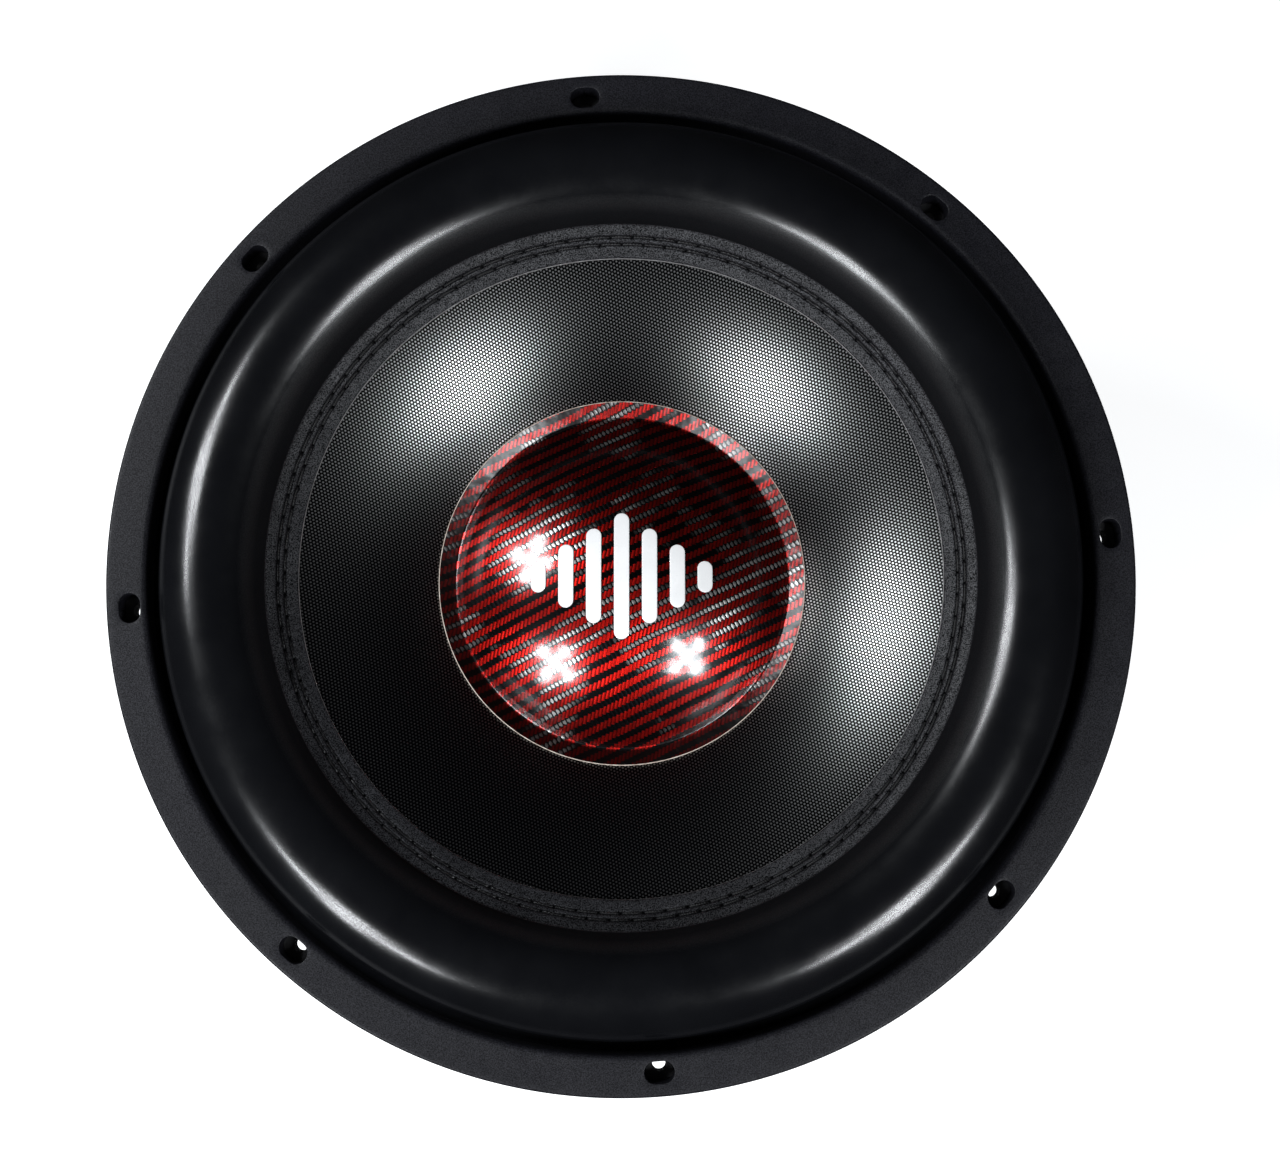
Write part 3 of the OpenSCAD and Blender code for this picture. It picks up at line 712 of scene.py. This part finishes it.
SURROUND_STEPS = STITCH_COUNT * 10
GROOVE_WIDTH = 0.55 * MM
GROOVE_DEPTH = 0.75 * MM
NEEDLE_WIDTH = 0.9 * MM
NEEDLE_DEPTH = 0.65 * MM
THREAD_R = 0.42 * MM


def lip_top(r):
    return cone_z(r) + LIP_WALL


def needle_distance(turn, r, row):
    """Distance along a row from the nearest needle hole."""
    pitch = TAU / STITCH_COUNT
    shift = row * pitch / 2
    return np.abs((turn - shift + pitch / 2) % pitch - pitch / 2) * r


def press_stitches(turn, r, z):
    """Sinks the lip's face along both rows and round every needle hole."""
    on_lip = (r > LIP_R + 0.5 * MM) & (r < LIP_OUTER_R - 0.2 * MM) & (z > lip_top(r) - 0.2 * MM)
    sink = np.zeros(np.broadcast(turn, r).shape)
    for row, offset in enumerate(STITCH_ROWS):
        across = r - (LIP_R + offset)
        along = needle_distance(turn, LIP_R + offset, row)
        sink += GROOVE_DEPTH * np.exp(-((across / GROOVE_WIDTH) ** 2))
        sink += NEEDLE_DEPTH * np.exp(-((across**2 + along**2) / NEEDLE_WIDTH**2))
    return r, z - np.where(on_lip, sink, 0)


def build_surround():
    foot_r = ROLL_R + ROLL_RADIUS
    inner = ROLL_RADIUS - ROLL_WALL
    edge = 0.3 * MM
    outline = [(LIP_R, cone_z(LIP_R)), (LIP_OUTER_R + ROLL_WALL, cone_z(LIP_OUTER_R + ROLL_WALL))]
    outline += arc(ROLL_R, GASKET_TOP, inner, 180, 0, 20)
    outline += [(foot_r - ROLL_WALL, LAND_LOW), (LAND_R, LAND_LOW), (LAND_R, FLANGE_TOP)]
    outline += [(foot_r + 1.5 * MM, FLANGE_TOP), (foot_r + 0.4 * MM, FLANGE_TOP + 0.4 * MM)]
    outline += [(foot_r, FLANGE_TOP + 1.5 * MM)]
    outline += arc(ROLL_R, GASKET_TOP, ROLL_RADIUS, 0, 180, 36)
    roll_end = len(outline)
    sewn_high = LIP_R + STITCH_ROWS[1] + 2 * GROOVE_WIDTH
    sewn_low = LIP_R + STITCH_ROWS[0] - 2 * GROOVE_WIDTH
    for start, end, steps in ((LIP_OUTER_R - 0.1 * MM, sewn_high, 5), (sewn_high, sewn_low, 22),
                              (sewn_low, LIP_R + edge, 6)):
        outline += [(r, lip_top(r)) for r in np.linspace(start, end, steps, endpoint=False)]
    lip_end = len(outline)
    outline += [(LIP_R + edge, lip_top(LIP_R + edge)), (LIP_R, lip_top(LIP_R) - edge)]
    slots = [0] * (roll_end - 1) + [1] * (lip_end - roll_end + 2) + [2] * (len(outline) - lip_end - 1)
    piece = revolve("surround_roll", outline, [LOOKS["roll"], LOOKS["lip"], LOOKS["lip_edge"]],
                    SURROUND_STEPS, shape=press_stitches, slots=slots)
    bend_radially(piece)
    dress(piece, None, "surround_foam", "surround")


def build_stitches(row, node):
    """One row of threads: each lies in the groove and dips into a needle hole at both ends."""
    r = LIP_R + STITCH_ROWS[row]
    pitch = TAU / STITCH_COUNT
    sides, steps = 8, 18
    points, faces = [], []
    for stitch in range(STITCH_COUNT):
        start = (stitch + row / 2) * pitch
        first = len(points)
        for i in range(steps + 1):
            share = i / steps
            turn = start + (0.05 + 0.9 * share) * pitch
            rise = math.sin(math.pi * share) ** 0.35
            height = lip_top(r) - THREAD_R - 0.75 * MM + 0.70 * MM * rise
            thick = THREAD_R * (0.82 + 0.18 * rise)
            for j in range(sides):
                a = TAU * j / sides
                out = r + thick * math.cos(a)
                points.append((out * math.cos(turn), out * math.sin(turn), height + thick * math.sin(a)))
        for i in range(steps):
            for j in range(sides):
                k = (j + 1) % sides
                here, there = first + i * sides, first + (i + 1) * sides
                faces.append((here + j, here + k, there + k, there + j))
        faces.append(tuple(first + j for j in reversed(range(sides))))
        faces.append(tuple(first + steps * sides + j for j in range(sides)))
    piece = mesh_object(node + "_threads", points, faces, [LOOKS["thread"]])
    dress(piece, "diaphragm", "thread", node)


# ---- Diaphragm ----

def build_cone():
    radii = np.linspace(FORMER_R, LIP_OUTER_R, 60)
    outline = [(r, cone_z(r) - CONE_WALL) for r in radii] + [(r, cone_z(r)) for r in radii[::-1]]
    piece = revolve("cone_body", outline, [LOOKS["cone"]], 512)
    piece.data.set_sharp_from_angle(angle=math.radians(40))
    dress(piece, "diaphragm", "cone_weave", "cone")


def dome_z(x, y=0.0, lift=0.0):
    return DOME_CENTRE_Z + math.sqrt((DOME_RADIUS + lift) ** 2 - x * x - y * y)


def build_dust_cap():
    """The dome, a rounded crease and the glued rim, as one shell with a raw cut edge."""
    soften = 0.9 * MM
    before, after = CAP_CREASE_R - soften, CAP_CREASE_R + soften
    crease = [(before, dome_z(before)), (CAP_CREASE_R, cone_z(CAP_CREASE_R) + CAP_WALL),
              (after, cone_z(after) + CAP_WALL)]
    rounded = []
    for share in np.linspace(0, 1, 7):
        weights = ((1 - share) ** 2, 2 * share * (1 - share), share**2)
        rounded.append(tuple(sum(w * p[k] for w, p in zip(weights, crease)) for k in (0, 1)))
    front = [(r, dome_z(r)) for r in np.linspace(0, before - 0.3 * MM, 90)] + rounded
    front += [(r, cone_z(r) + CAP_WALL) for r in np.linspace(after + 0.5 * MM, CAP_RIM_R - CAP_EDGE, 8)]
    edge = [(CAP_RIM_R, cone_z(CAP_RIM_R) + CAP_WALL - CAP_EDGE), (CAP_RIM_R, cone_z(CAP_RIM_R))]
    under = [(CAP_CREASE_R, cone_z(CAP_CREASE_R))]
    under += [(r, dome_z(r, lift=-CAP_WALL)) for r in np.linspace(CAP_CREASE_R - 1.2 * MM, 0, 40)]
    outline = under[::-1] + edge[::-1] + front[::-1]
    slots = [0] * len(outline)
    slots[len(under):len(under) + 2] = [1, 1]
    piece = revolve("dust_cap_dome", outline, [LOOKS["cap"], LOOKS["cap_edge"]], 512, slots=slots)
    piece.data.set_sharp_from_angle(angle=math.radians(50))
    dress(piece, "diaphragm", "cap_twill", "dust_cap")


MARK_BAR_WIDTH = 6 * MM
MARK_PITCH = 11 * MM
MARK_HEIGHT = 50 * MM
MARK_WALL = 0.5 * MM


def build_mark():
    """A row of round-ended bars of white film that follow the dome, tallest in the middle."""
    half = MARK_BAR_WIDTH / 2
    edge = 0.12 * MM
    levels = [(half, 0), (half, MARK_WALL - edge), (half - edge / 2, MARK_WALL - edge / 4)]
    levels.append((half - 2 * edge, MARK_WALL))
    levels += [(half * share, MARK_WALL) for share in (0.6, 0.3, 0)]
    floor_levels = [(0, 0), (half * 0.3, 0), (half * 0.6, 0)]
    points, faces = [], []
    for bar in range(-3, 4):
        straight = (MARK_HEIGHT * (4 - abs(bar)) / 4 - MARK_BAR_WIDTH) / 2
        side = np.linspace(-straight, straight, 25)
        loops = []
        for radius, lift in floor_levels + levels:
            loop = [(radius, y) for y in side]
            loop += [(radius * math.cos(a), straight + radius * math.sin(a))
                     for a in np.radians(np.arange(15, 180, 15))]
            loop += [(-radius, y) for y in side[::-1]]
            loop += [(radius * math.cos(a), -straight + radius * math.sin(a))
                     for a in np.radians(np.arange(195, 360, 15))]
            loops.append([(bar * MARK_PITCH + x, y, dome_z(bar * MARK_PITCH + x, y, lift)) for x, y in loop])
        count = len(loops[0])
        first = len(points)
        for loop in loops:
            points.extend(loop)
        for i in range(len(loops) - 1):
            for j in range(count):
                k = (j + 1) % count
                here, there = first + i * count, first + (i + 1) * count
                faces.append((here + j, here + k, there + k, there + j))
    piece = mesh_object("cap_mark", points, faces, [LOOKS["mark"]])
    dress(piece, "diaphragm", "mark_white", "emblem")


SPIDER_START_R = 43.5 * MM
SPIDER_LAND_R = 113 * MM
SPIDER_R = 126 * MM
SPIDER_WALL = 0.8 * MM
SPIDER_WAVES = 7
SPIDER_WAVE_HEIGHT = 2.6 * MM
SPIDER_COLLAR = 5 * MM


def build_spider(node, low):
    middle = low + SPIDER_WALL / 2
    radii = np.linspace(SPIDER_START_R, SPIDER_LAND_R, SPIDER_WAVES * 16 + 1)
    turns = TAU * SPIDER_WAVES * (radii - SPIDER_START_R) / (SPIDER_LAND_R - SPIDER_START_R)
    waves = list(zip(radii, middle + SPIDER_WAVE_HEIGHT * np.sin(turns)))
    half = SPIDER_WALL / 2
    outline = [(FORMER_R, middle - half)] + [(r, z - half) for r, z in waves]
    outline += [(SPIDER_R, middle - half), (SPIDER_R, middle + half)]
    outline += [(r, z + half) for r, z in waves[::-1]]
    outline += [(FORMER_R + 2 * SPIDER_WALL, middle + half), (FORMER_R + SPIDER_WALL, middle + 2 * half)]
    outline += [(FORMER_R + SPIDER_WALL, low + SPIDER_COLLAR), (FORMER_R, low + SPIDER_COLLAR)]
    piece = revolve(node + "_cloth", outline, [LOOKS["spider"]], 320)
    piece.data.set_sharp_from_angle(angle=math.radians(60))
    bend_radially(piece)
    dress(piece, None, "spider_cloth", node)


LEAD_R = 1.2 * MM
LEAD_OUTER = (137.7 * MM, -43.5 * MM)
LEAD_INNER = (42.4 * MM, -46 * MM)
LEAD_RADIUS = 78.5 * MM
BUTTON_PITCH = 24 * MM
TERMINAL_R = 138 * MM
LEAD_TURN = math.degrees(math.atan(BUTTON_PITCH / 2 / TERMINAL_R))


def build_leads():
    """Four braided leads that arch from the terminals to the collar."""
    chord = Vector(LEAD_OUTER) - Vector(LEAD_INNER)
    tilt = math.atan2(chord.y, chord.x)
    reach = math.asin(chord.length / 2 / LEAD_RADIUS)
    middle = (Vector(LEAD_OUTER) + Vector(LEAD_INNER)) / 2
    centre = middle - LEAD_RADIUS * math.cos(reach) * Vector((-math.sin(tilt), math.cos(tilt)))
    for number, turn in enumerate((LEAD_TURN, -LEAD_TURN, 180 + LEAD_TURN, 180 - LEAD_TURN), 1):
        c, s = math.cos(math.radians(turn)), math.sin(math.radians(turn))
        path = []
        for a in np.linspace(math.pi / 2 + tilt - reach, math.pi / 2 + tilt + reach, 49):
            r, z = centre.x + LEAD_RADIUS * math.cos(a), centre.y + LEAD_RADIUS * math.sin(a)
            path.append((r * c, r * s, z))
        piece = tube(f"lead_{number}", path, LEAD_R, [LOOKS["braid"]], 12)
        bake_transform(piece)
        dress(piece, None, "tinsel", "tinsel_leads")


# ---- Motor and terminals ----

PLATE_R = 107 * MM
MAGNET_R = 110 * MM
MAGNETS_TOP = -119 * MM
MAGNETS_LOW = -179 * MM
BOOT_ROUND = 2 * MM
BOOT_GROOVES = 4
BOOT_GROOVE_WIDTH = 2.8 * MM
BOOT_GROOVE_DEPTH = 0.9 * MM


def build_boot():
    """Rubber cover of the magnets, with shallow grooves round its wall."""
    low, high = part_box("magnet_boot")
    outer = high.x
    outline = [(PLATE_R, low.z)] + arc(outer - BOOT_ROUND, low.z + BOOT_ROUND, BOOT_ROUND, -90, 0, 6)
    for i in range(BOOT_GROOVES):
        z = low.z + (high.z - low.z) * (i + 1) / (BOOT_GROOVES + 1)
        outline += [(outer - BOOT_GROOVE_DEPTH * math.cos(a) ** 2, z + BOOT_GROOVE_WIDTH / 2 * math.sin(a))
                    for a in np.linspace(-math.pi / 2, math.pi / 2, 13)]
    outline += arc(outer - BOOT_ROUND, high.z - BOOT_ROUND, BOOT_ROUND, 0, 90, 6) + [(PLATE_R, high.z)]
    outline += [(PLATE_R, MAGNETS_TOP), (MAGNET_R, MAGNETS_TOP)]
    outline += [(MAGNET_R, MAGNETS_LOW), (PLATE_R, MAGNETS_LOW)]
    piece = revolve("motor_boot", outline, [LOOKS["boot"]], 384)
    piece.data.set_sharp_from_angle(angle=math.radians(50))
    dress(piece, "frame", "boot_rubber", "magnet_boot")


SPRING_MEAN_R = 5.3 * MM
SPRING_WIRE_R = 0.5 * MM
SPRING_TURNS = 4.5


def build_springs():
    for number in (1, 2, 3, 4):
        node = f"button_spring_{number}"
        low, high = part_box(node)
        button_low, button_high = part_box(f"button_{number}")
        centre = (button_low + button_high) / 2
        path = []
        for share in np.linspace(0, 1, int(SPRING_TURNS * 24) + 1):
            a = TAU * SPRING_TURNS * share
            z = low.z + SPRING_WIRE_R + (high.z - low.z - 2 * SPRING_WIRE_R) * share
            path.append((centre.x + SPRING_MEAN_R * math.cos(a), centre.y + SPRING_MEAN_R * math.sin(a), z))
        piece = tube(f"return_spring_{number}", path, SPRING_WIRE_R, [LOOKS["steel"]], 8)
        dress(piece, "frame", "spring_steel", node)
        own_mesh(piece)


# Hard parts with rounded edges: node, finish, the record's slot and the edge's width
HARD_PARTS = [
    ("spider_spacer", "moulded_black", "spacer_plastic", 0.4 * MM),
    ("spider_clamp", "moulded_black", "spacer_plastic", 0.4 * MM),
    ("top_plate", "plate", "plate_steel", 0.4 * MM),
    ("back_plate", "plate", "plate_steel", 0.4 * MM),
    ("terminal_block_right", "moulded_black", "terminal_plastic", 0.4 * MM),
    ("terminal_block_left", "moulded_black", "terminal_plastic", 0.4 * MM),
    ("terminal_contacts", "brass", "contact_brass", 0.15 * MM),
    ("terminal_screws", "steel", "screw_steel", 0.12 * MM),
    ("motor_bolts", "bolt", "bolt_steel", 0.3 * MM),
]
BUTTONS = [("button_1", "button_red"), ("button_2", "button_black"), ("button_3", "button_red"),
           ("button_4", "button_black")]
# CAD nodes that stay as they are, with their finish
KEPT_NODES = [("basket", "powder"), ("rear_gasket", "seal"), ("coil_former", "aluminium"),
              ("voice_coil", "copper"), ("neck_collar", "moulded_black"), ("magnet_front", "ferrite"),
              ("magnet_middle", "ferrite"), ("magnet_rear", "ferrite"), ("pole_sleeve", "aluminium"),
              ("vent_screen", "screen")]


def build_hard_parts():
    for node, finish, slot, width in HARD_PARTS:
        dress(softened(node, LOOKS[finish], width), "frame", slot)
    for node, finish in BUTTONS:
        dress(softened(node, LOOKS[finish], 0.35 * MM), node, finish)
    for node, finish in KEPT_NODES:
        keep_node(node, LOOKS[finish])


# ---- Stage, light and camera ----

FLOOR_SIZE = 12.0
FLOOR_Z = -193 * MM
LAMP_DISTANCE = 1.3
LAMP_SIZE = 0.13
LAMP_SPREAD = 0.17
LAMP_POWER = 2.2
# Each cluster of lamps: its turn from +X and its angle from +Z, in degrees
CLUSTERS = [(160.5, 49.0), (-45.5, 47.5), (-133.0, 51.0)]


def build_floor():
    look = Look("floor_paint", Roughness=0.9, Emission_Strength=0.6)
    look.shader.inputs["Emission Color"].default_value = (1, 1, 1, 1)
    look.set(Base_Color=look.colours(look.noise(3, 2), (0.86, 0.86, 0.86), (0.89, 0.89, 0.89)))
    half = FLOOR_SIZE / 2
    corners = [(x * half, y * half, FLOOR_Z) for x, y in ((-1, -1), (1, -1), (1, 1), (-1, 1))]
    floor = mesh_object("floor", corners, [(0, 1, 2, 3)], [look.material])
    floor.visible_glossy = False


def build_lamps():
    for cluster, (turn, lean) in enumerate(CLUSTERS):
        turn, lean = math.radians(turn), math.radians(lean)
        toward = Vector((math.sin(lean) * math.cos(turn), math.sin(lean) * math.sin(turn), math.cos(lean)))
        side = toward.cross(Vector((0, 0, 1))).normalized()
        up = side.cross(toward)
        offsets = [Vector((0, 0, 0))] + [LAMP_SPREAD * s for s in (side, -side, up, -up)]
        for number, offset in enumerate(offsets):
            data = bpy.data.lights.new(f"lamp_{cluster}_{number}", "AREA")
            data.shape = "DISK"
            data.size = LAMP_SIZE
            data.energy = LAMP_POWER
            data.color = (0.94, 0.97, 1.0)
            lamp = bpy.data.objects.new(data.name, data)
            lamp.location = LAMP_DISTANCE * toward + offset
            lamp.rotation_euler = lamp.location.to_track_quat("Z", "Y").to_euler()
            bpy.context.scene.collection.objects.link(lamp)


def build_world():
    world = bpy.data.worlds.new("room")
    world.use_nodes = True
    shade = world.node_tree.nodes["Background"]
    shade.inputs["Color"].default_value = (1, 1, 1, 1)
    shade.inputs["Strength"].default_value = 0.008
    bpy.context.scene.world = world


def build_camera():
    data = bpy.data.cameras.new("camera")
    data.sensor_width = 36
    data.lens = 51.6
    camera = bpy.data.objects.new("camera", data)
    camera.location = (0.006, -0.082, 0.718)
    camera.rotation_euler = (math.radians(6.4), math.radians(-0.1), 0)
    bpy.context.scene.collection.objects.link(camera)
    bpy.context.scene.camera = camera
    bpy.context.scene.view_settings.view_transform = "Standard"


build_gasket()
build_surround()
build_stitches(0, "stitching_inner_row")
build_stitches(1, "stitching_outer_row")
build_cone()
build_dust_cap()
build_mark()
build_spider("upper_spider", -56 * MM)
build_spider("lower_spider", -68 * MM)
build_leads()
build_boot()
build_springs()
build_hard_parts()
build_floor()
build_lamps()
build_world()
build_camera()
